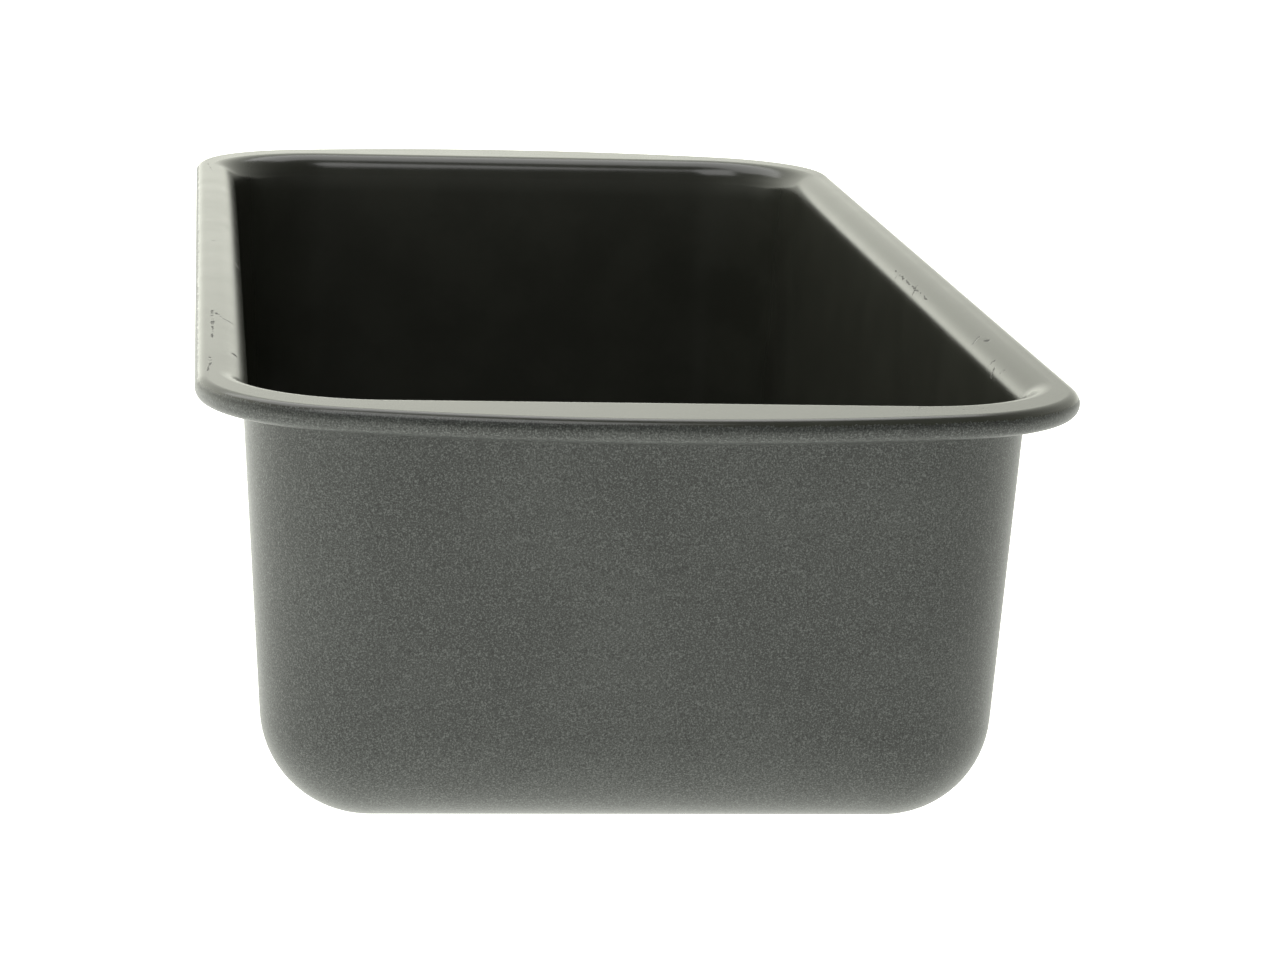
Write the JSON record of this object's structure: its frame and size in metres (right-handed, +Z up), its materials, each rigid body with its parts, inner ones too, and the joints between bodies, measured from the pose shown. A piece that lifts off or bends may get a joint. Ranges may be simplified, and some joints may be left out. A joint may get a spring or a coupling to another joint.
{
  "type": "loaf pan",
  "caption": "Deep rectangular loaf pan with tapered walls, rounded corners, a flat flange with bowed ends and a rolled, wired rim, for baking bread and cake.",
  "frame": {"origin": "centre of the flat underside", "axes": "+X across the pan's width, +Y along its length, +Z up out of the cavity"},
  "size_m": [0.144, 0.344, 0.0736],
  "materials": {
    "speckled_coat": "satin",
    "sheet_steel": "satin",
    "wire_steel": "satin",
    "nonstick_coat": "satin"
  },
  "bodies": {
    "root": {"exterior_coating": "speckled_coat", "steel_shell": "sheet_steel", "rim_wire": "wire_steel", "interior_coating": "nonstick_coat"}
  },
  "joints": []
}
